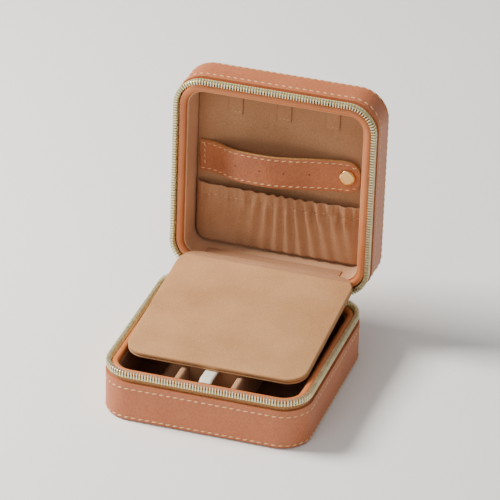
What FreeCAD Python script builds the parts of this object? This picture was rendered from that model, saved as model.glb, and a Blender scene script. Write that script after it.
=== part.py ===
import FreeCAD, Part
import math
import os

# A square zip-round jewellery case in leather, standing open.
# Millimetres, +Z up, X across the front, +Y to the back.
# The origin is the centre of the base's underside.
# Each half is first drawn in its own "half frame": z = 0 is the parting plane where the
# two halves meet, z < 0 goes into the half, and the centre of the half is on the z axis.

# Overall size
case_width = 110.0
case_depth = 111.0
corner_radius = 16.0
base_height = 27.2
lid_height = 24.3

# Outer skin and stiffening board
leather = 1.4
lower_edge_radius = 2.0
turned_edge = 6.0
panel_recess = 0.2
skin_gap = 0.1
board = 1.7
zip_reveal = 4.7

# Zip: tape, teeth and slider
tape = 0.6
tape_top = 1.8
tooth_rise = 3.2
tooth_width = 2.4
tooth_length = 0.55
tooth_inset = 0.2
tooth_pitch = 1.5
tooth_bevel = 0.3
chain_end = 28.0
bare_tape = 11.5

# Rolled leather rim round each opening, and the suede tray inside it
side_wall = 6.7
end_wall = 7.2
opening_width = case_width - 2 * side_wall
opening_depth = case_depth - 2 * end_wall
rim_width = 3.8
rim_height = 6.0
rim_setback = 0.2
rim_round = rim_width * 0.47
lining = 1.0
lining_setback = 2.6
floor_pad = 1.1
divider = 3.6
divider_spacing = 30.0
divider_below_panel = 0.4
cross_divider_front = -31.0
cross_divider_rear = 8.0

# Lid hinge: a leather spine behind the parting plane
hinge_behind = 1.0
open_angle = 92.0
spine_width = 48.0
spine = 1.2
spine_start = 1.9
spine_reach = 17.0

# Suede divider panel that hangs in the lid's lower rim
panel_clearance = 0.2
panel_radius = 10.9
panel_thickness = 3.2
panel_cover = 0.85
panel_core_inset = 0.6
panel_tilt = 5.0
panel_top_above_part = 2.1
panel_margin = 4.5
crease_gap = 0.05
panel_pin_inset = 1.5
panel_pin_above_part = 0.8
panel_pin_radius = 0.3
hinge_strip = 0.45
hinge_strip_start = 3.6
hinge_strip_end = 11.0
ribbon_width = 6.5
ribbon_hold = 4.0
ribbon_reach = 10.8
ribbon_layer = 0.5
ribbon_rise = 1.1

# Lid interior
lid_pad_depth = 19.0
lid_pad = 1.6
lid_pad_clearance = 0.5
tab_width = 7.6
tab_length = 18.0
tab_thickness = 0.8
tab_spacing = 26.5
pocket_height = 34.0
pocket_mouth = 3.8
pocket_cloth = 0.7
pocket_clearance = 0.6

# Ring strap and its snap, in the lid
strap_width = 17.5
strap_thickness = 1.6
strap_left = 3.3 - opening_width / 2
strap_fold = strap_left + 4.0
strap_right = opening_width / 2 - 4.8
strap_height = 60.1
strap_slant = 1.8
strap_bulge = 9.6
strap_bulge_at = -6.0
strap_hole_radius = 0.75
strap_hole_places = (-23.5, -10.5, 3.0, 17.0)
snap_at = strap_right - 6.9
snap_cap_radius = 4.5
snap_cap_height = 1.5
snap_socket_radius = 3.6
snap_bore_radius = 2.0
snap_post_radius = 1.75
snap_stud_radius = 3.5
snap_stud_height = 0.6
snap_stack = 2.6
snap_gap = 0.3

# Zip slider and pull, parked on the back beside the spine
slider_at = -29.0
slider_length = 8.0
slider_plate = 1.0
slider_inner_plate = 0.5
slider_rise = 5.1
slider_above_part = 0.8
slider_gap = 0.15
bail_wire = 0.7
bail_reach = 3.0
bail_span = 4.4
pull_ring_radius = 2.0
pull_ring_wire = 0.7
pull_tab_width = 7.0
pull_tab_thickness = 1.8
pull_tab_length = 17.0
pull_tab_hole = 0.9

# Derived places
part_z = base_height
hinge_y = case_depth / 2 + hinge_behind
opening_radius = corner_radius - side_wall
X_AXIS = FreeCAD.Vector(1, 0, 0)
Y_AXIS = FreeCAD.Vector(0, 1, 0)
Z_AXIS = FreeCAD.Vector(0, 0, 1)
hinge_point = FreeCAD.Vector(0, hinge_y, part_z)


def rounded_plate(width, depth, radius, z, height):
    """A rectangular plate with round corners, centred on the z axis."""
    x, y = width / 2, depth / 2
    r = min(radius, x * 0.98, y * 0.98)
    bend = r * (1 - math.sqrt(0.5))
    edges = []
    for sx, sy in ((1, 1), (-1, 1), (-1, -1), (1, -1)):
        first = FreeCAD.Vector(sx * x, sy * (y - r), z)
        last = FreeCAD.Vector(sx * (x - r), sy * y, z)
        if sx * sy < 0:
            first, last = last, first
        middle = FreeCAD.Vector(sx * (x - bend), sy * (y - bend), z)
        edges.append((first, middle, last))
    sides = []
    for i, (first, middle, last) in enumerate(edges):
        sides.append(Part.Arc(first, middle, last).toShape())
        sides.append(Part.makeLine(last, edges[(i + 1) % 4][0]))
    return Part.Face(Part.Wire(sides)).extrude(FreeCAD.Vector(0, 0, height))


def inset_plate(inset, z, height):
    """A plate that follows the case's outline, set in from it."""
    return rounded_plate(
        case_width - 2 * inset, case_depth - 2 * inset, corner_radius - inset, z, height
    )


def opening_plate(grow, z, height):
    """A plate that follows the tray opening, grown outwards."""
    return rounded_plate(
        opening_width + 2 * grow, opening_depth + 2 * grow, opening_radius + grow, z, height
    )


def edges_at(shape, z, test=None):
    """Edges of a shape that lie wholly in one level, and pass a test on their box."""
    found = []
    for edge in shape.Edges:
        box = edge.BoundBox
        flat = abs(box.ZMin - z) < 1e-4 and abs(box.ZMax - z) < 1e-4
        if flat and (test is None or test(box)):
            found.append(edge)
    return found


def leather_band(height):
    """Side skin of one half, its lower edge rounded and turned under the panel."""
    body = inset_plate(0, -height, height - zip_reveal)
    body = body.makeFillet(lower_edge_radius, edges_at(body, -height))
    hollow = inset_plate(leather, -height + leather, height)
    window = inset_plate(turned_edge, -height - 1, leather + 2)
    return body.cut(hollow).cut(window)


def face_panel(height):
    """Leather panel that fills the window in the band's turned edge."""
    return inset_plate(turned_edge + skin_gap, -height + panel_recess, leather - panel_recess)


def board_shell(height):
    """Stiff board tray inside the leather."""
    outer = inset_plate(leather + skin_gap, -height + leather + skin_gap, height)
    inner = inset_plate(
        leather + skin_gap + board, -height + leather + skin_gap + board, height
    )
    lid = inset_plate(-1, -tape_top - tape_depth() - skin_gap, height)
    return outer.cut(inner).cut(lid)


def tape_depth():
    """How far the zip tape runs down behind the leather."""
    return zip_reveal - tape_top + 2.3


def foam_frame(height):
    """Foam wall between the board and the suede tray, under the rim."""
    top = -rim_setback - rim_height - skin_gap
    bottom = -height + leather + 2 * skin_gap + board
    outer = inset_plate(leather + 2 * skin_gap + board, bottom, top - bottom)
    inner = opening_plate(skin_gap, bottom - 1, height)
    return outer.cut(inner)


def rim(height):
    """Leather rim rolled round the opening's edge."""
    outer = opening_plate(rim_width, -rim_setback - rim_height, rim_height)
    inner = opening_plate(0, -rim_setback - rim_height - 1, rim_height + 2)
    ring = outer.cut(inner)
    return ring.makeFillet(rim_round, edges_at(ring, -rim_setback))


def tray_lining(height, floor):
    """Suede-covered card wall of the tray, standing on the tray's floor."""
    outer = opening_plate(0, floor, -lining_setback - floor)
    inner = opening_plate(-lining, floor - 1, height)
    ring = outer.cut(inner)
    return ring.makeFillet(lining * 0.4, edges_at(ring, -lining_setback))


def zip_tape():
    """Woven zip tape that stands up behind the leather's edge."""
    bottom = -tape_top - tape_depth()
    outer = inset_plate(leather + skin_gap, bottom, tape_depth())
    inner = inset_plate(leather + skin_gap + tape, bottom - 1, tape_depth() + 2)
    gap = Part.makeBox(
        spine_width, case_depth, 40, FreeCAD.Vector(-spine_width / 2, 0, bottom - 1)
    )
    return outer.cut(inner).cut(gap)


def chain_route():
    """Straight runs and corner arcs of the zip chain, from the back left round the front."""
    middle = tooth_inset + tooth_width / 2
    x, y = case_width / 2 - middle, case_depth / 2 - middle
    r = corner_radius - middle
    side, front = 2 * (y - r), 2 * (x - r)
    left_run = x - r - (chain_end + bare_tape)
    right_run = x - r - chain_end
    return x, y, r, (left_run, side, front, side, right_run)


def chain_point(s):
    """Point and heading at a distance along the chain."""
    x, y, r, runs = chain_route()
    starts = (
        (-(chain_end + bare_tape), y, 180.0),
        (-x, y - r, 270.0),
        (-(x - r), -y, 0.0),
        (x, -(y - r), 90.0),
        (x - r, y, 180.0),
    )
    arc = r * math.pi / 2
    for i, run in enumerate(runs):
        px, py, heading = starts[i]
        a = math.radians(heading)
        if s <= run or i == 4:
            return px + math.cos(a) * s, py + math.sin(a) * s, heading
        s -= run
        if s <= arc:
            turn = s / r
            ex, ey = px + math.cos(a) * run, py + math.sin(a) * run
            cx, cy = ex - math.sin(a) * r, ey + math.cos(a) * r
            return (
                cx + math.sin(a + turn) * r,
                cy - math.cos(a + turn) * r,
                heading + math.degrees(turn),
            )
        s -= arc
    raise ValueError("past the end of the chain")


def chain_length():
    """Length of the chain's centre line."""
    _, _, r, runs = chain_route()
    return sum(runs) + 4 * r * math.pi / 2


def zip_teeth(side):
    """Metal teeth along the tape; side +1 is the base's chain, -1 the lid's."""
    low = -tape_top
    tooth = Part.makeBox(
        tooth_length,
        tooth_width,
        tooth_rise,
        FreeCAD.Vector(-tooth_length / 2, -tooth_width / 2, low),
    )
    head = [e for e in edges_at(tooth, low + tooth_rise) if e.BoundBox.YLength < 1e-4]
    tooth = tooth.makeChamfer(tooth_bevel, head)
    shift = 0.0 if side > 0 else tooth_pitch / 2
    solids = []
    s = tooth_length + shift
    while s < chain_length() - tooth_length:
        x, y, heading = chain_point(s)
        copy = tooth.copy()
        copy.rotate(FreeCAD.Vector(0, 0, 0), Z_AXIS, heading)
        copy.translate(FreeCAD.Vector(x, y, 0))
        solids.append(copy)
        s += tooth_pitch
    return Part.makeCompound(solids)


def to_base(shape):
    """Moves a half-frame shape to the base."""
    placed = shape.copy()
    placed.translate(FreeCAD.Vector(0, 0, part_z))
    return placed


def to_shut_lid(shape):
    """Turns a half-frame shape over, to where it is in the shut lid."""
    placed = shape.copy()
    placed = placed.mirror(FreeCAD.Vector(0, 0, 0), Z_AXIS)
    placed.translate(FreeCAD.Vector(0, 0, part_z))
    return placed


def swing_open(shape, angle=open_angle):
    """Opens a shape of the shut lid about the spine."""
    placed = shape.copy()
    placed.rotate(hinge_point, X_AXIS, -angle)
    return placed


def to_lid(shape):
    """Moves a half-frame shape to the open lid."""
    return swing_open(to_shut_lid(shape))


def lid_box(x, v, w, size_x, size_v, size_w):
    """A box in the lid: v up the lid from the hinge line, w into it from the parting plane."""
    corner = FreeCAD.Vector(x, hinge_y - v - size_v, part_z + w)
    return Part.makeBox(size_x, size_v, size_w, corner)


def lid_cylinder(x, v, w, radius, length):
    """A round bar in the lid, standing along w."""
    return Part.makeCylinder(radius, length, FreeCAD.Vector(x, hinge_y - v, part_z + w), Z_AXIS)


def rounded_bar(width, length, height, round_radius, corner):
    """A wall along Y with its two long top edges rounded."""
    bar = Part.makeBox(width, length, height, corner)
    top = edges_at(bar, corner.z + height, lambda box: box.YLength > length / 2)
    return bar.makeFillet(round_radius, top)


nodes = {}

# Base
base_floor = -base_height + leather + 2 * skin_gap + board
nodes["base_leather_band"] = to_base(leather_band(base_height))
nodes["base_bottom_panel"] = to_base(face_panel(base_height))
nodes["base_board_shell"] = to_base(board_shell(base_height))
nodes["base_foam_frame"] = to_base(foam_frame(base_height))
nodes["base_rim"] = to_base(rim(base_height))
nodes["base_tray_lining"] = to_base(tray_lining(base_height, base_floor + floor_pad))
nodes["base_floor_pad"] = to_base(opening_plate(0, base_floor, floor_pad - skin_gap))
nodes["base_zip_tape"] = to_base(zip_tape())
nodes["base_zip_teeth"] = to_base(zip_teeth(1))

# Tray dividers: two from front to back, and two short ones across the middle column
tray_bottom = part_z + base_floor + floor_pad
panel_top_z = part_z + panel_top_above_part
divider_top = panel_top_z - panel_thickness - divider_below_panel
divider_length = opening_depth - 2 * lining - 2 * skin_gap
column = divider_spacing - divider - 2 * skin_gap
for name, x in (("left", -divider_spacing / 2), ("right", divider_spacing / 2)):
    corner = FreeCAD.Vector(x - divider / 2, -divider_length / 2, tray_bottom)
    nodes["divider_" + name] = rounded_bar(
        divider, divider_length, divider_top - tray_bottom, divider * 0.42, corner
    )
for name, y in (("front", cross_divider_front), ("rear", cross_divider_rear)):
    wall_piece = rounded_bar(
        divider,
        column,
        divider_top - tray_bottom,
        divider * 0.42,
        FreeCAD.Vector(-divider / 2, -column / 2, tray_bottom),
    )
    wall_piece.rotate(FreeCAD.Vector(0, 0, 0), Z_AXIS, 90)
    wall_piece.translate(FreeCAD.Vector(0, y, 0))
    nodes["divider_cross_" + name] = wall_piece

# Lid
lid_floor = -lid_height + leather + 2 * skin_gap + board
pad_face = -lid_pad_depth
nodes["lid_leather_band"] = to_lid(leather_band(lid_height))
nodes["lid_top_panel"] = to_lid(face_panel(lid_height))
nodes["lid_board_shell"] = to_lid(board_shell(lid_height))
nodes["lid_foam_frame"] = to_lid(foam_frame(lid_height))
nodes["lid_rim"] = to_lid(rim(lid_height))
nodes["lid_tray_lining"] = to_lid(tray_lining(lid_height, lid_floor + skin_gap))
nodes["lid_zip_tape"] = to_lid(zip_tape())
nodes["lid_zip_teeth"] = to_lid(zip_teeth(-1))
nodes["lid_back_pad"] = to_lid(
    opening_plate(-lining - lid_pad_clearance, pad_face - lid_pad, lid_pad)
)

# Three suede necklace tabs hang down the pad from the top of the lid
tab_top = hinge_y + opening_depth / 2 - lining - lid_pad_clearance
tab_outer = lid_pad_depth - skin_gap - tab_thickness
tab_round = tab_thickness / 2
for i, name in enumerate(("left", "middle", "right")):
    x = (i - 1) * tab_spacing - tab_width / 2
    flat = lid_box(
        x, tab_top - tab_length, tab_outer, tab_width, tab_length - tab_round, tab_thickness
    )
    bend = Part.makeCylinder(
        tab_round,
        tab_width,
        FreeCAD.Vector(x, hinge_y - tab_top + tab_round, part_z + tab_outer + tab_round),
        X_AXIS,
    )
    nodes["necklace_tab_" + name] = swing_open(flat.fuse(bend).removeSplitter())

# Gathered pocket: a front that leans off the pad, closed at both sides and below
pocket_low = hinge_y - opening_depth / 2 + lining + lid_pad_clearance + pocket_clearance
pocket_half = opening_width / 2 - lining - lid_pad_clearance - pocket_clearance
pocket_back = part_z + lid_pad_depth - skin_gap


def pocket_wedge(half_width, inset):
    """Wedge-shaped volume of the pocket, shrunk by an inset at its sides, front and foot."""
    front_low = pocket_back - 1.2 + inset
    front_high = pocket_back - pocket_mouth - pocket_cloth + inset
    back = pocket_back + (1.0 if inset else 0.0)
    reach = pocket_height + (1.0 if inset else 0.0)
    x = -half_width + inset
    corners = [
        FreeCAD.Vector(x, hinge_y - pocket_low - inset, back),
        FreeCAD.Vector(x, hinge_y - pocket_low - inset, front_low),
        FreeCAD.Vector(x, hinge_y - pocket_low - reach, front_high),
        FreeCAD.Vector(x, hinge_y - pocket_low - reach, back),
    ]
    outline = Part.makePolygon(corners + corners[:1])
    return Part.Face(outline).extrude(FreeCAD.Vector(2 * (half_width - inset), 0, 0))


pocket_plan = opening_plate(-lining - lid_pad_clearance, part_z, lid_height)
pocket = pocket_wedge(pocket_half, 0.0).cut(pocket_wedge(pocket_half, pocket_cloth))
pocket = pocket.common(pocket_plan)
nodes["lid_pocket"] = swing_open(pocket)

# Ring strap: sewn down at the left, bowed off the pad, snapped at the right
pad_w = part_z + lid_pad_depth
strap_flat = pad_w - skin_gap - strap_thickness / 2
strap_snapped = pad_w - snap_stack - strap_thickness / 2
strap_peak = pad_w - strap_bulge - strap_thickness / 2


def strap_points(offset):
    """Points along the strap's run, offset to one face of the leather."""
    run = [
        (strap_fold, strap_flat),
        (strap_fold + 6, strap_flat - (strap_flat - strap_peak) * 0.18),
        (strap_bulge_at - 17, strap_flat - (strap_flat - strap_peak) * 0.78),
        (strap_bulge_at, strap_peak),
        (strap_bulge_at + 12, strap_peak + (strap_snapped - strap_peak) * 0.2),
        (strap_bulge_at + 24, strap_peak + (strap_snapped - strap_peak) * 0.62),
        (snap_at - 5.5, strap_snapped - 0.15),
        (snap_at, strap_snapped),
        (strap_right, strap_snapped),
    ]
    return [FreeCAD.Vector(x, 0, z + offset) for x, z in run]


def strap_blank():
    """Strap on edge between its two faces, cut to its width with a round free end."""
    faces = []
    for offset in (-strap_thickness / 2, strap_thickness / 2):
        curve = Part.BSplineCurve()
        curve.interpolate(strap_points(offset))
        faces.append(curve.toShape())
    ends = []
    for i in (0, -1):
        ends.append(Part.makeLine(faces[0].Vertexes[i].Point, faces[1].Vertexes[i].Point))
    outline = Part.Wire(Part.__sortEdges__([faces[0], ends[1], faces[1], ends[0]]))
    blank = Part.Face(outline).extrude(FreeCAD.Vector(0, strap_width, 0))
    blank.translate(FreeCAD.Vector(0, -strap_width / 2, 0))
    end_radius = strap_width / 2
    keep = Part.makeBox(
        strap_right - strap_left, strap_width, 60, FreeCAD.Vector(strap_left, -end_radius, pad_w - 40)
    )
    round_end = rounded_plate(
        4 * strap_width, strap_width, end_radius * 0.85, pad_w - 40, 60
    )
    round_end.translate(FreeCAD.Vector(strap_right - 2 * strap_width, 0, 0))
    return blank.common(keep.common(round_end).fuse(
        Part.makeBox(
            strap_right - 2 * end_radius - strap_left,
            strap_width,
            60,
            FreeCAD.Vector(strap_left, -end_radius, pad_w - 40),
        )
    ))


def place_on_strap_line(shape):
    """Moves a piece drawn about the strap's line to its height, with its slant, in the lid."""
    placed = shape.copy()
    placed.rotate(FreeCAD.Vector(strap_fold, 0, 0), Z_AXIS, -strap_slant)
    placed.translate(FreeCAD.Vector(0, hinge_y - strap_height, 0))
    return swing_open(placed)


strap = strap_blank()
for x in strap_hole_places:
    hole = Part.makeCylinder(strap_hole_radius, 60, FreeCAD.Vector(x, 0, pad_w - 40), Z_AXIS)
    strap = strap.cut(hole)
nodes["ring_strap"] = place_on_strap_line(strap)
nodes["strap_sewn_end"] = place_on_strap_line(
    Part.makeBox(
        strap_fold - strap_left - skin_gap,
        strap_width,
        strap_thickness,
        FreeCAD.Vector(strap_left, -strap_width / 2, strap_flat - strap_thickness / 2),
    )
)

strap_outer = strap_snapped - strap_thickness / 2 - skin_gap
strap_inner = strap_snapped + strap_thickness / 2
cap = Part.makeCylinder(
    snap_cap_radius,
    snap_cap_height,
    FreeCAD.Vector(snap_at, 0, strap_outer - snap_cap_height),
    Z_AXIS,
)
cap = cap.makeFillet(snap_cap_height * 0.9, edges_at(cap, strap_outer - snap_cap_height))
nodes["snap_cap"] = place_on_strap_line(cap)
stud_face = pad_w - skin_gap - snap_stud_height
socket_height = stud_face - snap_gap - strap_inner
socket = Part.makeCylinder(
    snap_socket_radius, socket_height, FreeCAD.Vector(snap_at, 0, strap_inner), Z_AXIS
)
socket_bore = Part.makeCylinder(
    snap_bore_radius, socket_height, FreeCAD.Vector(snap_at, 0, strap_inner), Z_AXIS
)
nodes["snap_socket"] = place_on_strap_line(socket.cut(socket_bore))
stud = Part.makeCylinder(
    snap_stud_radius, snap_stud_height, FreeCAD.Vector(snap_at, 0, stud_face), Z_AXIS
)
post = Part.makeCylinder(
    snap_post_radius,
    socket_height,
    FreeCAD.Vector(snap_at, 0, stud_face - socket_height),
    Z_AXIS,
)
nodes["snap_stud"] = place_on_strap_line(stud.fuse(post).removeSplitter())

# Leather spine: sewn to the back of the base, folded at the hinge, sewn to the lid
half_spine = spine_width / 2
spine_face = case_depth / 2 + skin_gap
base_spine = Part.makeBox(
    spine_width,
    spine,
    spine_reach - spine_start,
    FreeCAD.Vector(-half_spine, spine_face, part_z - spine_reach),
)
nodes["spine_base_side"] = base_spine
lid_spine = Part.makeBox(
    spine_width,
    spine,
    spine_reach - spine_start,
    FreeCAD.Vector(-half_spine, spine_face, part_z + spine_start),
)
nodes["spine_lid_side"] = swing_open(lid_spine)


def spine_fold_piece():
    """Bend of the spine between the base and the open lid, as a bent strip."""
    start = FreeCAD.Vector(0, spine_face + spine / 2, part_z - spine_start)
    leaf = Part.Vertex(FreeCAD.Vector(0, spine_face + spine / 2, part_z + spine_start))
    finish = swing_open(leaf).Point
    centre = FreeCAD.Vector(0, finish.y - skin_gap, start.z)
    r_y, r_z = centre.y - start.y, finish.z - centre.z
    radius = (r_y + r_z) / 2
    outer = Part.makeCylinder(radius + spine / 2, spine_width, centre, X_AXIS)
    inner = Part.makeCylinder(radius - spine / 2, spine_width, centre, X_AXIS)
    quarter = Part.makeBox(
        spine_width,
        radius + spine,
        radius + spine,
        FreeCAD.Vector(0, centre.y - radius - spine, centre.z),
    )
    fold = outer.cut(inner).common(quarter)
    fold.translate(FreeCAD.Vector(-half_spine, 0, 0))
    return fold


nodes["spine_fold"] = spine_fold_piece()

# Divider panel: drawn flat in the shut case, then laid back as the open lid carries it
panel_width = opening_width - 2 * panel_clearance
panel_depth = opening_depth - 2 * panel_clearance
panel_rear = panel_depth / 2
panel_front = -panel_depth / 2
panel_low_z = panel_top_z - panel_thickness
panel_pin = FreeCAD.Vector(0, panel_rear - panel_pin_inset, part_z + panel_pin_above_part)
panel_pin_open = swing_open(Part.Vertex(panel_pin)).Point


def open_panel(shape):
    """Carries a shape of the flat panel to where it rests when the case is open."""
    placed = shape.copy()
    placed.rotate(panel_pin, X_AXIS, panel_tilt)
    placed.translate(panel_pin_open.sub(panel_pin))
    return placed


def panel_layer(z, height, inset, rear_gap):
    """One layer of the panel, its rear edge stopping short by a gap."""
    layer = rounded_plate(
        panel_width - 2 * inset, panel_depth - 2 * inset, panel_radius - inset, z, height
    )
    keep = Part.makeBox(
        panel_width - 2 * min(inset, 0),
        panel_depth - min(inset, 0),
        height,
        FreeCAD.Vector(
            min(inset, 0) - panel_width / 2, panel_front + min(inset, 0) - rear_gap, z
        ),
    )
    return layer.common(keep)


cover_low = panel_top_z - panel_cover
whole_cover = panel_layer(cover_low, panel_cover, 0, 0)
nodes["panel_top_cover"] = open_panel(
    panel_layer(cover_low, panel_cover, 0, panel_margin + crease_gap)
)
nodes["panel_hinge_margin"] = open_panel(
    whole_cover.cut(panel_layer(cover_low, panel_cover, -1, panel_margin))
)
nodes["panel_board"] = open_panel(
    panel_layer(
        panel_low_z + panel_cover,
        panel_thickness - 2 * panel_cover,
        panel_core_inset,
        panel_margin + crease_gap,
    )
)
nodes["panel_under_cover"] = open_panel(
    panel_layer(panel_low_z, panel_cover, 0, panel_margin + crease_gap)
)
fold_width = panel_width - 2 * panel_radius
nodes["panel_hinge_fold"] = open_panel(
    Part.makeCylinder(
        panel_pin_radius,
        fold_width,
        panel_pin.add(FreeCAD.Vector(-fold_width / 2, 0, 0)),
        X_AXIS,
    )
)
nodes["panel_hinge_strip"] = swing_open(
    lid_box(
        -fold_width / 2,
        hinge_y - opening_depth / 2 + lining + skin_gap,
        hinge_strip_start,
        fold_width,
        hinge_strip,
        hinge_strip_end - hinge_strip_start,
    )
)


def ribbon_face(height):
    """Line of the ribbon's run, on one side of its middle, in the panel's upright section."""
    middle = panel_low_z - skin_gap - ribbon_layer
    run = [
        (panel_front + ribbon_hold, 0.0),
        (panel_front, 0.0),
        (panel_front - ribbon_reach * 0.35, ribbon_rise * 0.45),
        (panel_front - ribbon_reach * 0.7, ribbon_rise),
        (panel_front - ribbon_reach, ribbon_rise * 0.4),
    ]
    curve = Part.BSplineCurve()
    curve.interpolate([FreeCAD.Vector(0, y, middle + rise + height) for y, rise in run])
    return curve.toShape()


# Ribbon pull: a doubled ribbon held under the panel's front edge, reaching forward
ribbon_faces = [ribbon_face(-ribbon_layer), ribbon_face(ribbon_layer)]
ribbon_ends = [
    Part.makeLine(ribbon_faces[0].Vertexes[i].Point, ribbon_faces[1].Vertexes[i].Point)
    for i in (0, -1)
]
ribbon_section = Part.Face(Part.Wire(Part.__sortEdges__(ribbon_faces + ribbon_ends)))
ribbon = ribbon_section.extrude(FreeCAD.Vector(ribbon_width, 0, 0))
ribbon.translate(FreeCAD.Vector(-ribbon_width / 2, 0, 0))
nodes["ribbon_pull"] = open_panel(ribbon)

# Zip slider on the bare tape, with its bail, jump ring and leather pull
chain_outer = case_depth / 2 - tooth_inset
chain_inner = chain_outer - tooth_width
slider_top = part_z + slider_above_part
slider_low = slider_top - slider_rise
plate_face = chain_outer + slider_gap
left_end = slider_at - slider_length / 2
outer_plate = Part.makeBox(
    slider_length,
    slider_plate,
    slider_rise,
    FreeCAD.Vector(left_end, plate_face, slider_low),
)
outer_plate = outer_plate.makeFillet(
    slider_plate * 0.45,
    [e for e in outer_plate.Edges if e.BoundBox.YMin > plate_face + slider_plate - 1e-4],
)
inner_plate = Part.makeBox(
    slider_length,
    slider_inner_plate,
    slider_rise,
    FreeCAD.Vector(left_end, chain_inner - slider_gap - slider_inner_plate, slider_low),
)
tape_edge = part_z - tape_top
wedge = Part.makeBox(
    slider_plate,
    plate_face - chain_inner + slider_gap,
    slider_top - tape_edge - slider_gap,
    FreeCAD.Vector(
        slider_at - slider_plate / 2, chain_inner - slider_gap, tape_edge + slider_gap
    ),
)
nodes["zip_slider_body"] = outer_plate.fuse([inner_plate, wedge]).removeSplitter()
bail_y = plate_face + slider_plate + bail_reach
bail_z = slider_top - slider_rise / 2
pull_axis = FreeCAD.Vector(slider_at, bail_y, bail_z)
bail = Part.makeCylinder(
    bail_wire / 2, bail_span, pull_axis.sub(FreeCAD.Vector(bail_span / 2, 0, 0)), X_AXIS
)
for x in (slider_at - bail_span / 2, slider_at + bail_span / 2 - bail_wire):
    leg = Part.makeBox(
        bail_wire,
        bail_reach,
        bail_wire,
        FreeCAD.Vector(x, plate_face + slider_plate, bail_z - bail_wire / 2),
    )
    bail = bail.fuse(leg)
nodes["zip_slider_bail"] = bail.removeSplitter()
ring_inside = pull_ring_radius - pull_ring_wire / 2
ring_centre = FreeCAD.Vector(
    slider_at, bail_y, bail_z + bail_wire / 2 + slider_gap - ring_inside
)
nodes["pull_ring"] = Part.makeTorus(
    pull_ring_radius, pull_ring_wire / 2, ring_centre, X_AXIS
)
hole_z = ring_centre.z - pull_ring_radius
tab_top_z = hole_z + pull_tab_hole + 0.9
pull_tab = Part.makeBox(
    pull_tab_width,
    pull_tab_thickness,
    pull_tab_length,
    FreeCAD.Vector(
        slider_at - pull_tab_width / 2, bail_y - pull_tab_thickness / 2, tab_top_z - pull_tab_length
    ),
)
pull_tab = pull_tab.makeFillet(1.5, [e for e in pull_tab.Edges if e.BoundBox.YLength > 1])
tab_hole = Part.makeCylinder(
    pull_tab_hole,
    pull_tab_thickness * 2,
    FreeCAD.Vector(slider_at, bail_y - pull_tab_thickness, hole_z),
    Y_AXIS,
)
nodes["pull_tab"] = pull_tab.cut(tab_hole)

os.makedirs("parts", exist_ok=True)
for name, shape in nodes.items():
    shape.exportStep("parts/" + name + ".step")
print("nodes", len(nodes))
crease = Part.Vertex(FreeCAD.Vector(0, panel_rear - panel_margin, panel_top_z))
print("panel pin when open", [round(c, 3) for c in panel_pin_open])
print("panel crease when open", [round(c, 3) for c in open_panel(crease).Point])
print("hinge point", [round(c, 3) for c in hinge_point])
print("pull axis", [round(c, 3) for c in pull_axis])
for name, shape in nodes.items():
    box = shape.BoundBox
    if not shape.isValid() or not shape.Solids:
        print("CHECK", name, shape.isValid(), len(shape.Solids))
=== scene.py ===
import math
import bpy
import bmesh
from mathutils import Matrix, Vector


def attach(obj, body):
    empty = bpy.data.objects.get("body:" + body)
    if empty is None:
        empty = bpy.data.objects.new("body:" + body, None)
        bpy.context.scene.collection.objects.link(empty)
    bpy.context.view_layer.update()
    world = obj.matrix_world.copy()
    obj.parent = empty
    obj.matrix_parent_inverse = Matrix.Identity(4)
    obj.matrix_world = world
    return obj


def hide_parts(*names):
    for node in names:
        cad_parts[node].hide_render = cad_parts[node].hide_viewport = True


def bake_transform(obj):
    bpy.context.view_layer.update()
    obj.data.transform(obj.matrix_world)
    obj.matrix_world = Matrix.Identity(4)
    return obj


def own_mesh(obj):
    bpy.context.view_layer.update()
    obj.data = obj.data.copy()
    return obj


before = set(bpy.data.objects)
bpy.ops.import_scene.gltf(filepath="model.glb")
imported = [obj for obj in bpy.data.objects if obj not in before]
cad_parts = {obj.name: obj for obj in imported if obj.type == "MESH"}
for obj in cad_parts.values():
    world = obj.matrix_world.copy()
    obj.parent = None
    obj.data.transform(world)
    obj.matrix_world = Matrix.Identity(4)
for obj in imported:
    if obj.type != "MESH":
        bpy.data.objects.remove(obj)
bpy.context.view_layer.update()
MM = 0.001

# ---------------------------------------------------------------- Room and camera
# A plain pale table top, a large soft light high on the left and a weak one in front.
# The camera looks down on the open case from in front and a little to its right.
table_half = 4.0
camera_distance = 1.98528


def tone(code):
    """Linear colour of an sRGB hex code, with alpha."""
    parts = [int(code[i:i + 2], 16) / 255 for i in (1, 3, 5)]
    line = [c / 12.92 if c <= 0.04045 else ((c + 0.055) / 1.055) ** 2.4 for c in parts]
    return (*line, 1.0)


def add_node(tree, kind, links=(), **values):
    """One shader node: values set its sockets or settings, links join earlier outputs to it."""
    node = tree.nodes.new("ShaderNode" + kind)
    for key, value in values.items():
        if key in node.bl_rna.properties:
            setattr(node, key, value)
        else:
            node.inputs[key.replace("_", " ")].default_value = value
    for source, output, socket in links:
        tree.links.new(source.outputs[output], node.inputs[socket])
    return node


def new_finish(name):
    """An empty material with its Principled shader wired to the output."""
    material = bpy.data.materials.new(name)
    material.use_nodes = True
    tree = material.node_tree
    tree.nodes.clear()
    shader = add_node(tree, "BsdfPrincipled")
    add_node(tree, "OutputMaterial", [(shader, "BSDF", "Surface")])
    return material, tree, shader


def colour_mix(tree, factor, low, high, start=0.35, end=0.65):
    """A ramp between two colours, driven by a texture."""
    ramp = add_node(tree, "ValToRGB", [(factor[0], factor[1], "Fac")])
    ramp.color_ramp.elements[0].position = start
    ramp.color_ramp.elements[0].color = low
    ramp.color_ramp.elements[1].position = end
    ramp.color_ramp.elements[1].color = high
    return ramp


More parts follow.
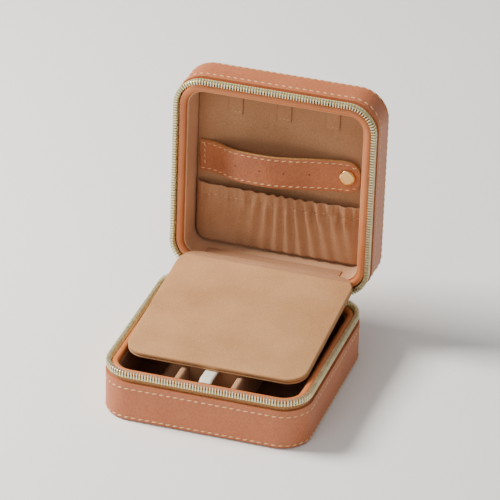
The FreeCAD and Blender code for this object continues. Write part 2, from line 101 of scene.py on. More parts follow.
def table_finish():
    """Matt pale paint with the faintest mottle."""
    material, tree, shader = new_finish("pale_table")
    place = add_node(tree, "TexCoord")
    mottle = add_node(tree, "TexNoise", [(place, "Object", "Vector")], Scale=1 / (333 * MM), Detail=3.0)
    ramp = colour_mix(tree, (mottle, "Fac"), tone("#F4F3F0"), tone("#F7F6F4"))
    tree.links.new(ramp.outputs["Color"], shader.inputs["Base Color"])
    shader.inputs["Roughness"].default_value = 0.9
    return material


table_mesh = bmesh.new()
bmesh.ops.create_grid(table_mesh, x_segments=1, y_segments=1, size=table_half)
table_data = bpy.data.meshes.new("table_top")
table_mesh.to_mesh(table_data)
table_mesh.free()
table_top = bpy.data.objects.new("table_top", table_data)
bpy.context.scene.collection.objects.link(table_top)
table_data.materials.append(table_finish())


def soft_light(name, place, aim, size, power, hue="#FFFFFF"):
    """A square area light aimed at a point."""
    data = bpy.data.lights.new(name, "AREA")
    data.shape = "SQUARE"
    data.size = size
    data.energy = power
    data.color = tone(hue)[:3]
    lamp = bpy.data.objects.new(name, data)
    lamp.location = place
    lamp.rotation_euler = (Vector(aim) - Vector(place)).to_track_quat("-Z", "Y").to_euler()
    bpy.context.scene.collection.objects.link(lamp)


soft_light("window_light", (-0.8, -0.08, 0.85), (0, 0.02, 0.05), 0.4, 27.5, "#FFFBF4")
soft_light("front_fill", (-0.35, -1.3, 0.7), (0, 0.02, 0.06), 0.7, 3.0)
world = bpy.data.worlds.new("room")
world.use_nodes = True
world.node_tree.nodes["Background"].inputs["Color"].default_value = tone("#F4F3F1")
world.node_tree.nodes["Background"].inputs["Strength"].default_value = 0.54
bpy.context.scene.world = world

azimuth, elevation, roll = math.radians(17.34), math.radians(29.5), math.radians(1.39)
aim = Vector((7.38, 0.0, 79.39)) * MM
back = Vector((
    math.sin(azimuth) * math.cos(elevation),
    -math.cos(azimuth) * math.cos(elevation),
    math.sin(elevation),
))
level_right = (-back).cross(Vector((0, 0, 1))).normalized()
level_up = level_right.cross(-back)
right = level_right * math.cos(roll) + level_up * math.sin(roll)
up = level_up * math.cos(roll) - level_right * math.sin(roll)
camera_data = bpy.data.cameras.new("camera")
camera_data.lens = 281.6
camera_data.sensor_width = 36.0
camera_data.clip_end = 20.0
camera = bpy.data.objects.new("camera", camera_data)
spot = aim + back * camera_distance
camera.matrix_world = Matrix((
    (right.x, up.x, back.x, spot.x),
    (right.y, up.y, back.y, spot.y),
    (right.z, up.z, back.z, spot.z),
    (0, 0, 0, 1),
))
bpy.context.scene.collection.objects.link(camera)
bpy.context.scene.camera = camera

# ---------------------------------------------------------------- Outer leather of both halves
# Pebbled cowhide, glued over card: a band round each half and a panel in its face.
# It is semi-matt, with painted shade darkening the hollows between the pebbles. The lid turns about a
# line just behind the base and is modelled open.
case_width, case_depth, corner_radius = 110 * MM, 111 * MM, 16 * MM
base_height, lid_height = 27.2 * MM, 24.3 * MM
hinge_behind, lid_angle = 1.0 * MM, math.radians(92)
hinge = Vector((0, case_depth / 2 + hinge_behind, base_height))
lid_turn = (
    Matrix.Translation(hinge)
    @ Matrix.Rotation(-lid_angle, 4, "X")
    @ Matrix.Translation(-hinge)
)
raise_half = Matrix.Translation((0, 0, base_height))
lid_place = lid_turn @ raise_half


def pebbled_leather(name, light, dark, pebble=1.0 * MM, rough=0.48, relief=0.6):
    """Pebbled cowhide, drum-dyed: small uneven cells in relief, with broad changes of tone and painted
    shade in the hollows between the cells.
    """
    material, tree, shader = new_finish(name)
    place = add_node(tree, "TexCoord")
    warp = add_node(tree, "TexNoise", [(place, "Object", "Vector")], Scale=1 / (3.85 * MM), Detail=2.0)
    bent = add_node(
        tree, "MixRGB", [(place, "Object", "Color1"), (warp, "Color", "Color2")], Fac=0.0012
    )
    cells = add_node(tree, "TexVoronoi", [(bent, "Color", "Vector")], Scale=1 / pebble)
    cells.feature = "SMOOTH_F1"
    cells.inputs["Smoothness"].default_value = 0.55
    fine = add_node(
        tree, "TexNoise", [(place, "Object", "Vector")], Scale=4.5 / pebble, Detail=3.0
    )
    broad = add_node(tree, "TexNoise", [(place, "Object", "Vector")], Scale=1 / (26.3 * MM), Detail=4.0)
    tones = colour_mix(tree, (broad, "Fac"), dark, light, 0.3, 0.72)
    # Painted shade: the hollows between the pebbles are darkened.
    pebble_hollow_shade = colour_mix(tree, (cells, "Distance"), (1, 1, 1, 1), (0.86, 0.83, 0.81, 1), 0.3, 0.75)
    skin = add_node(
        tree,
        "MixRGB",
        [(tones, "Color", "Color1"), (pebble_hollow_shade, "Color", "Color2")],
        blend_type="MULTIPLY",
        Fac=1.0,
    )
    tree.links.new(skin.outputs["Color"], shader.inputs["Base Color"])
    sheen = add_node(
        tree, "MapRange", [(broad, "Fac", "Value")], To_Min=rough - 0.06, To_Max=rough + 0.1
    )
    tree.links.new(sheen.outputs["Result"], shader.inputs["Roughness"])
    height = add_node(
        tree, "Math", [(cells, "Distance", 0), (fine, "Fac", 1)], operation="SUBTRACT"
    )
    bump = add_node(
        tree, "Bump", [(height, "Value", "Height")], Strength=relief, Distance=0.00022
    )
    bump.invert = True
    tree.links.new(bump.outputs["Normal"], shader.inputs["Normal"])
    return material


def finish_nodes(material, *names):
    """Gives CAD nodes a finish."""
    for name in names:
        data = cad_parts[name].data
        data.materials.clear()
        data.materials.append(material)


case_leather = pebbled_leather("case_leather", tone("#BD6E44"), tone("#B2643A"))
finish_nodes(
    case_leather, "base_leather_band", "base_bottom_panel", "lid_leather_band", "lid_top_panel"
)


def new_piece(name, mesh, finishes, place=None, crease=35.0):
    """Makes a bmesh a shaded object at the origin, its place in its mesh.
    A place that mirrors the mesh turns its faces round, so they are turned back."""
    if place is not None:
        bmesh.ops.transform(mesh, matrix=place, verts=mesh.verts)
        if place.determinant() < 0:
            bmesh.ops.reverse_faces(mesh, faces=mesh.faces[:])
    data = bpy.data.meshes.new(name)
    mesh.to_mesh(data)
    mesh.free()
    data.shade_smooth()
    data.set_sharp_from_angle(angle=math.radians(crease))
    for material in finishes:
        data.materials.append(material)
    piece = bpy.data.objects.new(name, data)
    bpy.context.scene.collection.objects.link(piece)
    return piece


# ---------------------------------------------------------------- Thread
# Waxed thread a shade lighter than the leather: two rows round each half's band, and one
# row round the lid's face panel. Each stitch sinks a little into the leather at its ends.
stitch_pitch = 3.75 * MM
row_below_zip, row_above_edge, face_row_inset = 8.1 * MM, 2.3 * MM, 4.6 * MM
thread_sink = 0.04 * MM


def thread_finish():
    """Waxed thread with fine twisted strands."""
    material, tree, shader = new_finish("waxed_thread")
    place = add_node(tree, "TexCoord")
    twist = add_node(tree, "TexNoise", [(place, "Object", "Vector")], Scale=1 / (0.385 * MM), Detail=2.0)
    ramp = colour_mix(tree, (twist, "Fac"), tone("#C9965F"), tone("#EAC48E"))
    tree.links.new(ramp.outputs["Color"], shader.inputs["Base Color"])
    bump = add_node(tree, "Bump", [(twist, "Fac", "Height")], Strength=0.6, Distance=0.0001)
    tree.links.new(bump.outputs["Normal"], shader.inputs["Normal"])
    shader.inputs["Roughness"].default_value = 0.55
    shader.inputs["Sheen Weight"].default_value = 0.2
    return material


waxed_thread = thread_finish()


def outline_steps(width, depth, radius, pitch):
    """Evenly spaced stations round a rounded rectangle: place, direction along, outward."""
    x, y = width / 2 - radius, depth / 2 - radius
    arc = radius * math.pi / 2
    runs = (2 * x, 2 * y, 2 * x, 2 * y)
    total = sum(runs) + 4 * arc
    count = round(total / pitch)
    stations = []
    for i in range(count):
        s = total * i / count
        corner, heading = Vector((-x, -y - radius)), 0.0
        centre = (Vector((x, -y)), Vector((x, y)), Vector((-x, y)), Vector((-x, -y)))
        for side in range(4):
            along = Vector((math.cos(heading), math.sin(heading)))
            if s <= runs[side]:
                point = corner + along * s
                break
            s -= runs[side]
            if s <= arc:
                heading += s / radius
                point = centre[side] + Vector((math.sin(heading), -math.cos(heading))) * radius
                along = Vector((math.cos(heading), math.sin(heading)))
                break
            s -= arc
            heading += math.pi / 2
            corner = centre[side] + Vector((math.sin(heading), -math.cos(heading))) * radius
        out = Vector((along.y, -along.x))
        stations.append((point.to_3d(), along.to_3d(), out.to_3d()))
    return stations


def add_stitch(mesh, point, along, out, length=2.7 * MM, width=0.8 * MM, slant=0.16):
    """One stitch: a small flattened bead of thread lying along its direction."""
    side = out.cross(along).normalized()
    along = (along + side * slant).normalized()
    side = out.cross(along).normalized()
    turn = Matrix((
        (along.x * length / 2, side.x * width / 2, out.x * width * 0.42, point.x),
        (along.y * length / 2, side.y * width / 2, out.y * width * 0.42, point.y),
        (along.z * length / 2, side.z * width / 2, out.z * width * 0.42, point.z),
        (0, 0, 0, 1),
    ))
    bmesh.ops.create_uvsphere(mesh, u_segments=6, v_segments=4, radius=1.0, matrix=turn)


def band_stitches(name, height, place, body):
    """Both rows of stitches round one half's band, and the row round the lid's face panel."""
    mesh = bmesh.new()
    for level in (-row_below_zip, -height + row_above_edge):
        for point, along, out in outline_steps(
            case_width, case_depth, corner_radius, stitch_pitch
        ):
            add_stitch(mesh, point + Vector((0, 0, level)) + out * thread_sink, along, out)
    if body == "lid":
        face = Vector((0, 0, -height - thread_sink))
        for point, along, out in outline_steps(
            case_width - 2 * face_row_inset,
            case_depth - 2 * face_row_inset,
            corner_radius - face_row_inset,
            stitch_pitch,
        ):
            add_stitch(mesh, point + face, along, Vector((0, 0, -1)))
    row = new_piece(name, mesh, [waxed_thread], place)
    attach(row, body)


flip = Matrix.Scale(-1, 4, (0, 0, 1))
band_stitches("base_band_stitches", base_height, raise_half, "base")
band_stitches("lid_band_stitches", lid_height, lid_place @ flip, "lid")

# ---------------------------------------------------------------- Rolled rims
# Thin smooth calf rolled over a cord, round the mouth of each half. It shines a little
# along its crown.


def rim_finish():
    """Smooth calf, satin, with a fine grain and slow changes of tone."""
    material, tree, shader = new_finish("rim_leather")
    place = add_node(tree, "TexCoord")
    broad = add_node(tree, "TexNoise", [(place, "Object", "Vector")], Scale=1 / (16.7 * MM), Detail=5.0)
    grain = add_node(tree, "TexVoronoi", [(place, "Object", "Vector")], Scale=1 / (0.526 * MM))
    tones = colour_mix(tree, (broad, "Fac"), tone("#BE6B3A"), tone("#CF7B45"), 0.3, 0.7)
    tree.links.new(tones.outputs["Color"], shader.inputs["Base Color"])
    bump = add_node(
        tree, "Bump", [(grain, "Distance", "Height")], Strength=0.25, Distance=0.00008
    )
    tree.links.new(bump.outputs["Normal"], shader.inputs["Normal"])
    shader.inputs["Roughness"].default_value = 0.38
    return material


rim_leather = rim_finish()
finish_nodes(rim_leather, "base_rim", "lid_rim")

# ---------------------------------------------------------------- Zip
# Metal teeth clamped on a woven tape, sewn behind the leather's edge, with a plated slider
# that carries a jump ring and a leather pull.


def tape_finish():
    """Woven herringbone tape."""
    material, tree, shader = new_finish("zip_tape")
    place = add_node(tree, "TexCoord")
    weft = add_node(
        tree, "TexWave", [(place, "Object", "Vector")], Scale=1 / (2.38 * MM), Distortion=1.0
    )
    warp = add_node(
        tree, "TexNoise", [(place, "Object", "Vector")], Scale=1 / (0.556 * MM), Detail=2.0
    )
    weft.bands_direction = "Z"
    tones = colour_mix(tree, (warp, "Fac"), tone("#A06A3C"), tone("#B98650"), 0.35, 0.65)
    tree.links.new(tones.outputs["Color"], shader.inputs["Base Color"])
    bump = add_node(tree, "Bump", [(weft, "Fac", "Height")], Strength=0.5, Distance=0.0001)
    tree.links.new(bump.outputs["Normal"], shader.inputs["Normal"])
    shader.inputs["Roughness"].default_value = 0.85
    shader.inputs["Sheen Weight"].default_value = 0.2
    return material


def metal_finish(name, low, high, rough):
    """Plated metal with slight tarnish."""
    material, tree, shader = new_finish(name)
    place = add_node(tree, "TexCoord")
    tarnish = add_node(
        tree, "TexNoise", [(place, "Object", "Vector")], Scale=1 / (2.38 * MM), Detail=3.0
    )
    tones = colour_mix(tree, (tarnish, "Fac"), low, high, 0.3, 0.7)
    tree.links.new(tones.outputs["Color"], shader.inputs["Base Color"])
    wear = add_node(
        tree, "MapRange", [(tarnish, "Fac", "Value")], To_Min=rough - 0.06, To_Max=rough + 0.1
    )
    tree.links.new(wear.outputs["Result"], shader.inputs["Roughness"])
    shader.inputs["Metallic"].default_value = 1.0
    return material


zip_metal = metal_finish("zip_metal", tone("#D8D0AE"), tone("#F2ECD2"), 0.42)
finish_nodes(tape_finish(), "base_zip_tape", "lid_zip_tape")
finish_nodes(
    zip_metal,
    "base_zip_teeth",
    "lid_zip_teeth",
    "zip_slider_body",
    "zip_slider_bail",
    "pull_ring",
)
finish_nodes(rim_leather, "pull_tab")

# ---------------------------------------------------------------- Zip braids
# A low pale braid woven along each tape's edge, that the teeth are clamped over. It follows
# the case's outline and shows between the teeth. It stays below the other half's teeth, so
# that the zip can shut.
braid_inset, braid_half, braid_stop = 1.4 * MM, 1.15 * MM, 3.0 * MM
braid_crown, braid_foot = -1.44 * MM, -1.79 * MM


def braid_finish():
    """Pale yellow cotton braid, matt, with a fine weave."""
    material, tree, shader = new_finish("zip_braid")
    place = add_node(tree, "TexCoord")
    weave = add_node(
        tree, "TexNoise", [(place, "Object", "Vector")], Scale=1 / (0.588 * MM), Detail=2.0
    )
    tones = colour_mix(tree, (weave, "Fac"), tone("#CDBE7C"), tone("#EADFA6"), 0.35, 0.65)
    tree.links.new(tones.outputs["Color"], shader.inputs["Base Color"])
    bump = add_node(tree, "Bump", [(weave, "Fac", "Height")], Strength=0.5, Distance=0.0001)
    tree.links.new(bump.outputs["Normal"], shader.inputs["Normal"])
    shader.inputs["Roughness"].default_value = 0.85
    return material


def braid_mesh():
    """An arched section, open underneath, that follows the outline of one half in 1 mm steps
    round the front and both sides, and stops short of the back."""
    mesh = bmesh.new()
    outline = outline_steps(
        case_width - 2 * braid_inset,
        case_depth - 2 * braid_inset,
        corner_radius - braid_inset,
        1.0 * MM,
    )
    back_edge = case_depth / 2 - braid_stop
    first = next(
        i for i in range(len(outline)) if outline[i - 1][0].y > back_edge >= outline[i][0].y
    )
    run = [step for step in outline[first:] + outline[:first] if step[0].y <= back_edge]
    rows, across = len(run) - 1, 8
    bmesh.ops.create_grid(mesh, x_segments=rows, y_segments=across, size=0.5)
    for v in mesh.verts:
        point, along, out = run[round((v.co.x + 0.5) * rows)]
        turn = math.pi * round((v.co.y + 0.5) * across) / across
        height = braid_foot + (braid_crown - braid_foot) * math.sin(turn)
        v.co = point + out * braid_half * math.cos(turn) + Vector((0, 0, height))
    bmesh.ops.recalc_face_normals(mesh, faces=mesh.faces[:])
    return mesh


zip_braid = braid_finish()
for body, braid_place in (("base", raise_half), ("lid", lid_place @ flip)):
    braid = new_piece(body + "_zip_braid", braid_mesh(), [zip_braid], braid_place, 60.0)
    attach(braid, body)

# ---------------------------------------------------------------- Suede linings
# Brushed suede glued to card: tray walls, floor, dividers, the lid's walls and its back pad.
# The card and foam behind it hardly show and share one plain finish.


def suede_finish(name, light, dark, nap=29.4 * MM):
    """Suede: fine nap, brushed in patches, lighter where the fibres lean. Real fibres are
    too fine to show, so they are drawn as coarse as the fibre width here."""
    fibre_width = 0.667 * MM
    material, tree, shader = new_finish(name)
    place = add_node(tree, "TexCoord")
    patch = add_node(tree, "TexNoise", [(place, "Object", "Vector")], Scale=1 / nap, Detail=5.0)
    fibre = add_node(
        tree, "TexNoise", [(place, "Object", "Vector")], Scale=1 / fibre_width, Detail=3.0
    )
    mixed = add_node(tree, "MixRGB", [(patch, "Fac", "Color1"), (fibre, "Fac", "Color2")], Fac=0.5)
    tones = colour_mix(tree, (mixed, "Color"), dark, light, 0.34, 0.66)
    tree.links.new(tones.outputs["Color"], shader.inputs["Base Color"])
    bump = add_node(tree, "Bump", [(fibre, "Fac", "Height")], Strength=0.45, Distance=0.00012)
    tree.links.new(bump.outputs["Normal"], shader.inputs["Normal"])
    shader.inputs["Roughness"].default_value = 0.95
    shader.inputs["Specular IOR Level"].default_value = 0.15
    shader.inputs["Sheen Weight"].default_value = 0.12
    shader.inputs["Sheen Roughness"].default_value = 0.5
    return material


# The trays' suede is a darker copy of the lining suede: painted shade for the shadow inside the trays.
tray_suede_painted_shade = suede_finish("tray_suede_painted_shade", tone("#8A5F42"), tone("#6E482F"))
finish_nodes(tray_suede_painted_shade, "base_tray_lining", "base_floor_pad")
# The lid's walls have a lighter copy of the suede: painted light on the lower lid wall.
lid_wall_suede_painted_light = suede_finish("lid_wall_suede_painted_light", tone("#D8A983"), tone("#BD8D67"))
finish_nodes(lid_wall_suede_painted_light, "lid_tray_lining")
lid_suede = suede_finish("lid_suede", tone("#B88A66"), tone("#9C6F4D"))
finish_nodes(
    lid_suede,
    "divider_left",
    "divider_right",
    "divider_cross_front",
    "divider_cross_rear",
    "panel_hinge_strip",
    "panel_hinge_margin",
    "panel_hinge_fold",
    "lid_back_pad",
)
core_card = suede_finish("core_card", tone("#A89272"), tone("#8F7A5C"), 11.1 * MM)
finish_nodes(core_card, "base_board_shell", "lid_board_shell", "base_foam_frame", "lid_foam_frame")

# ---------------------------------------------------------------- Divider panel
# A card covered in suede above and below, its two covers meeting in a seam round the edge.
# It is hinged by its rear margin and lifts off the tray.
panel_size, panel_round = 96.2 * MM, 10.9 * MM
panel_top, panel_seam, panel_low = 2.1 * MM, -0.2 * MM, -1.1 * MM
pin_inset, pin_above, panel_tilt = 1.5 * MM, 0.8 * MM, math.radians(5)
rear_margin, crease_gap = 4.5 * MM, 0.05 * MM
panel_pin = Vector((0, panel_size / 2 - pin_inset, base_height + pin_above))
panel_open = lid_turn @ panel_pin
panel_place = (
    Matrix.Translation(panel_open)
    @ Matrix.Rotation(panel_tilt, 4, "X")
    @ Matrix.Translation(-panel_pin)
    @ raise_half
)
crease_line = panel_size / 2 - rear_margin - crease_gap


def add_layer(mesh, size, radius, low, high, soften):
    """A plate with round corners and softened edges, centred on the z axis."""
    made = bmesh.ops.create_cube(mesh, size=1.0)
    verts = made["verts"]
    bmesh.ops.scale(mesh, vec=(size, size, high - low), verts=verts)
    bmesh.ops.translate(mesh, vec=(0, 0, (low + high) / 2), verts=verts)
    upright = [
        e for e in {e for v in verts for e in v.link_edges}
        if abs(e.verts[0].co.z - e.verts[1].co.z) > (high - low) / 2
    ]
    bmesh.ops.bevel(
        mesh, geom=upright, offset=radius, segments=14, profile=0.5, affect="EDGES", material=-1
    )
    reach = [
        e for e in mesh.edges
        if all(abs(v.co.z - low) < 1e-6 for v in e.verts)
        or all(abs(v.co.z - high) < 1e-6 for v in e.verts)
    ]
    bmesh.ops.bevel(
        mesh, geom=reach, offset=soften, segments=4, profile=0.5, affect="EDGES", material=-1
    )


def panel_mesh():
    """Upper and lower layers of the panel, cut at its crease."""
    whole = bmesh.new()
    for size, radius, low, high, soften in (
        (panel_size, panel_round, panel_seam, panel_top, 0.95 * MM),
        (panel_size, panel_round, panel_low, panel_seam, 0.4 * MM),
    ):
        layer = bmesh.new()
        add_layer(layer, size, radius, low, high, soften)
        cut = bmesh.ops.bisect_plane(
            layer,
            geom=layer.verts[:] + layer.edges[:] + layer.faces[:],
            plane_co=(0, crease_line, 0),
            plane_no=(0, 1, 0),
            clear_outer=True,
        )
        rim = [g for g in cut["geom_cut"] if isinstance(g, bmesh.types.BMEdge)]
        bmesh.ops.holes_fill(layer, edges=rim)
        data = bpy.data.meshes.new("layer")
        layer.to_mesh(data)
        layer.free()
        whole.from_mesh(data)
        bpy.data.meshes.remove(data)
    return whole


panel_suede = suede_finish("panel_suede", tone("#C59466"), tone("#A6764B"), 33.3 * MM)
panel = new_piece("divider_panel", panel_mesh(), [panel_suede], panel_place)
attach(panel, "panel")
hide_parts("panel_top_cover", "panel_board", "panel_under_cover")


# ---------------------------------------------------------------- Ribbon pull
# Doubled satin ribbon sewn under the panel's front edge, used to lift it.


def ribbon_finish():
    """Satin ribbon with fine cross ribs."""
    material, tree, shader = new_finish("satin_ribbon")
    place = add_node(tree, "TexCoord")
    ribs = add_node(
        tree, "TexWave", [(place, "Object", "Vector")], Scale=1 / (1.11 * MM), Distortion=0.4
    )
    ribs.bands_direction = "Y"
    tones = colour_mix(tree, (ribs, "Fac"), tone("#D8D2C0"), tone("#EFEBDD"), 0.2, 0.8)
    tree.links.new(tones.outputs["Color"], shader.inputs["Base Color"])
    bump = add_node(tree, "Bump", [(ribs, "Fac", "Height")], Strength=0.4, Distance=0.00006)
    tree.links.new(bump.outputs["Normal"], shader.inputs["Normal"])
    shader.inputs["Roughness"].default_value = 0.42
    shader.inputs["Sheen Weight"].default_value = 0.4
    return material


def curve_through(points, steps):
    """Points of a smooth curve through the given points, evenly shared between them."""
    line = []
    for i in range(len(points) - 1):
        a, b = points[max(i - 1, 0)], points[i]
        c, d = points[i + 1], points[min(i + 2, len(points) - 1)]
        for k in range(steps):
            t = k / steps
            line.append(
                b * (1 + t * t * (2 * t - 3))
                + c * (t * t * (3 - 2 * t))
                + (c - a) / 2 * (t * (1 - t) ** 2)
                - (d - b) / 2 * (t * t * (1 - t))
            )
    line.append(points[-1].copy())
    return line


def strip_mesh(line, width, across=4, edge_of=None):
    """A strip of cloth or leather that follows a line of (x, depth) points, on a grid.
    edge_of gives the half width at a point, where the strip narrows."""
    mesh = bmesh.new()
    rows = len(line) - 1
    bmesh.ops.create_grid(mesh, x_segments=rows, y_segments=across, size=0.5)
    for v in mesh.verts:
        i = round((v.co.x + 0.5) * rows)
        half = width / 2 if edge_of is None else edge_of(line[i])
        v.co = Vector((line[i].x, v.co.y * 2 * half, line[i].y))
    return mesh


turned = Matrix.Rotation(math.radians(90), 4, "Z")
ribbon_width, ribbon_layer, ribbon_gap = 6.5 * MM, 0.5, 0.1
ribbon_middle = panel_low / MM - ribbon_gap - ribbon_layer
ribbon_run = [
    (-(panel_size / 2 - 4.0 * MM), ribbon_middle + 0.25),
    (-48.1 * MM, ribbon_middle + 0.25),
    (-52.3 * MM, ribbon_middle + 0.75),
    (-56.0 * MM, ribbon_middle + 1.2),
    (-58.4 * MM, ribbon_middle + 0.7),
    (-58.8 * MM, ribbon_middle + 0.45),
    (-58.3 * MM, ribbon_middle + 0.2),
    (-56.0 * MM, ribbon_middle + 0.65),
    (-52.3 * MM, ribbon_middle + 0.15),
    (-48.1 * MM, ribbon_middle - 0.3),
    (-(panel_size / 2 - 4.0 * MM), ribbon_middle - 0.3),
]
ribbon_line = curve_through([Vector((y, z * MM)) for y, z in ribbon_run], 5)
ribbon = new_piece(
    "ribbon_loop",
    strip_mesh(ribbon_line, ribbon_width, 4),
    [ribbon_finish()],
    panel_place @ turned,
    60.0,
)
thick = ribbon.modifiers.new("cloth", "SOLIDIFY")
thick.thickness = 0.35 * MM
thick.offset = 0
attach(ribbon, "panel")
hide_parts("ribbon_pull")
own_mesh(ribbon)

# ---------------------------------------------------------------- Lid pocket
# One piece of suede gathered on elastic below its hem, sewn at its foot and sides, so that
# folds fan down from the stitched line.
pocket_half, pocket_foot, pocket_mouth = 46.0 * MM, 11.4 * MM, 45.3 * MM
hem_line = 39.0 * MM
hem_pitch, hem_lift, hem_end = 3.0 * MM, 0.32 * MM, 1.5 * MM
# Each fold: its middle, half width, height and how far it fans out at the foot, in mm.
pocket_folds = (
    (-38.0, 4.0, 0.6, -4.0),
    (-29.0, 3.2, 0.9, -5.0),
    (-20.5, 2.6, 1.2, -4.5),
    (-13.0, 2.1, 1.5, -4.0),
    (-6.5, 1.7, 1.9, -2.2),
    (-1.0, 1.5, 2.1, -0.6),
    (4.2, 1.5, 2.2, 1.0),
    (9.6, 1.7, 2.1, 2.8),
    (15.4, 1.9, 1.9, 4.4),
    (22.0, 2.2, 1.7, 5.4),
    (29.0, 2.4, 1.4, 5.8),
    (36.5, 2.6, 1.0, 4.0),
)


def pocket_depth(x, v):
    """Depth into the lid, in metres, of the pocket's cloth at a place on it."""
    rise = (v - pocket_foot) / (pocket_mouth - pocket_foot)
    edge = min(1.0, (pocket_half - abs(x)) / (5 * MM))
    lean = 17.9 - 2.5 * rise ** 1.1 * math.sin(edge * math.pi / 2) ** 0.7
    near = math.exp(-(((v - hem_line) / (15 * MM)) ** 2))
    folds = 0.0
    for centre, width, height, fan in pocket_folds:
        middle = centre + fan * (hem_line - v) / (25 * MM)
        folds += height * math.exp(-(((x / MM - middle) / (width * (1.35 - 0.5 * near))) ** 2))
    ruffle = 0.5 * math.sin(x / MM * 1.25) + 0.25 * math.sin(x / MM * 2.6 + 1.1)
    ruffle *= math.exp(-(((v - hem_line) / (6.0 * MM)) ** 2))
    pinch = 0.45 * math.exp(-(((v - hem_line) / (1.1 * MM)) ** 2))
    return (lean - (folds * (0.6 + 0.85 * near) + ruffle) * edge + pinch) * MM


def pocket_mesh():
    """A fine grid of cloth pushed into its folds."""
    mesh = bmesh.new()
    bmesh.ops.create_grid(mesh, x_segments=150, y_segments=60, size=0.5)
    for v in mesh.verts:
        x = v.co.x * 2 * pocket_half
        height = pocket_foot + (v.co.y + 0.5) * (pocket_mouth - pocket_foot)
        corner = max(0.0, 9.0 * MM - (height - 9.2 * MM)) / (9.0 * MM)
        x *= 1 - 0.1 * corner * corner
        v.co = Vector((x, hinge.y - height, pocket_depth(x, height)))
    return mesh


pocket_suede = suede_finish("pocket_suede", tone("#B98A66"), tone("#9F704F"), 16.7 * MM)
pocket_cloth = pocket_mesh()
cloth_area = sum(f.calc_area() for f in pocket_cloth.faces)
pocket = new_piece("gathered_pocket", pocket_cloth, [pocket_suede], lid_place, 80.0)
thick = pocket.modifiers.new("cloth", "SOLIDIFY")
thick.thickness = 0.6 * MM
thick.offset = 0
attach(pocket, "lid")
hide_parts("lid_pocket")

pale_thread = suede_finish("pale_thread", tone("#D9B68E"), tone("#C29A70"), 3.33 * MM)
hem_thread = bmesh.new()
x = -pocket_half + hem_end
while x < pocket_half - hem_end:
    here = Vector((x, hinge.y - hem_line, pocket_depth(x, hem_line) - hem_lift))
    there = Vector((x + MM, hinge.y - hem_line, pocket_depth(x + MM, hem_line) - hem_lift))
    add_stitch(hem_thread, here, (there - here).normalized(), Vector((0, 0, -1)), 2.0 * MM, 0.5 * MM)
    x += hem_pitch
hem_row = new_piece("pocket_stitches", hem_thread, [pale_thread], lid_place)
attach(hem_row, "lid")

# ---------------------------------------------------------------- Ring strap
# A band of the case's leather, backed and stitched along both edges, its cut edges painted.
# One end is sewn to the lid and the other snaps over a stud, so that rings thread on it.
strap_width, strap_height = 17.5 * MM, 60.1 * MM
strap_slant = math.radians(-1.8)
strap_end, strap_corner, sewn_end = 43.5 * MM, 7.4 * MM, 41 * MM
strap_thickness = 1.6 * MM
strap_points = (
    (-45.0, 18.1),
    (-41.0, 18.1),
    (-35.0, 16.4),
    (-23.0, 10.69),
    (-6.0, 8.6),
    (6.0, 10.0),
    (18.0, 12.94),
    (31.1, 15.45),
    (36.6, 15.6),
    (43.5, 15.6),
)
strap_line = curve_through([Vector((x, w)) * MM for x, w in strap_points], 9)
strap_place = (
    lid_place
    @ Matrix.Translation((0, hinge.y - strap_height, 0))
    @ Matrix.Translation((-sewn_end, 0, 0))
    @ Matrix.Rotation(strap_slant, 4, "Z")
    @ Matrix.Translation((sewn_end, 0, 0))
)


def strap_half_width(point):
    """Half width of the strap: its free end is rounded."""
    end = strap_end - strap_corner
    blunt = 0.02 * MM
    if point.x <= end:
        return strap_width / 2
    left = max(0.0, 1 - ((point.x - end) / (strap_corner + blunt)) ** 2)
    return strap_width / 2 - strap_corner * (1 - math.sqrt(left))


def edge_paint():
    """Painted cut edge, a little yellow and satin."""
    material, tree, shader = new_finish("edge_paint")
    place = add_node(tree, "TexCoord")
    broad = add_node(tree, "TexNoise", [(place, "Object", "Vector")], Scale=1 / (2 * MM), Detail=2.0)
    tones = colour_mix(tree, (broad, "Fac"), tone("#B98A4E"), tone("#D2A768"))
    tree.links.new(tones.outputs["Color"], shader.inputs["Base Color"])
    shader.inputs["Roughness"].default_value = 0.4
    return material


strap_leather = pebbled_leather("strap_leather", tone("#BC6F42"), tone("#9F5830"), 1.18 * MM, 0.4, 0.8)
strap = new_piece(
    "strap_band",
    strip_mesh(strap_line, strap_width, 10, strap_half_width),
    [strap_leather, edge_paint()],
    strap_place,
    50.0,
)
thick = strap.modifiers.new("leather", "SOLIDIFY")
thick.thickness = strap_thickness
thick.offset = 0
thick.material_offset_rim = 1
soften = strap.modifiers.new("edges", "BEVEL")
soften.width = 0.3 * MM
soften.segments = 2
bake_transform(strap)
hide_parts("ring_strap", "strap_sewn_end")


def strap_stitches():
    """Rows along both edges, and one across the sewn end."""
    mesh = bmesh.new()
    lift = 0.84 * MM
    travelled, next_stitch = 0.0, 1.6 * MM
    for a, b in zip(strap_line, strap_line[1:]):
        step = (b - a).length
        along = Vector((b.x - a.x, 0, b.y - a.y)).normalized()
        out = Vector((along.z, 0, -along.x))
        while travelled + step > next_stitch:
            part = (next_stitch - travelled) / step
            spot_2d = a.lerp(b, part)
            for side in (-1, 1):
                half = strap_half_width(spot_2d) - 1.5 * MM
                if spot_2d.x < 42.0 * MM:
                    point = Vector((spot_2d.x, side * half, spot_2d.y)) + out * lift
                    add_stitch(mesh, point, along, out, 2.6 * MM, 0.65 * MM)
            next_stitch += stitch_pitch
        travelled += step
    y = -strap_width / 2 + 2.4 * MM
    while y < strap_width / 2 - 2 * MM:
        add_stitch(
            mesh, Vector((-42.4 * MM, y, 17.26 * MM)), Vector((0, 1, 0)), Vector((0, 0, -1)), 2.3 * MM,
            0.6 * MM,
        )
        y += 3.3 * MM
    return mesh


strap_thread = new_piece("strap_stitches", strap_stitches(), [waxed_thread], strap_place)
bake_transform(strap_thread)


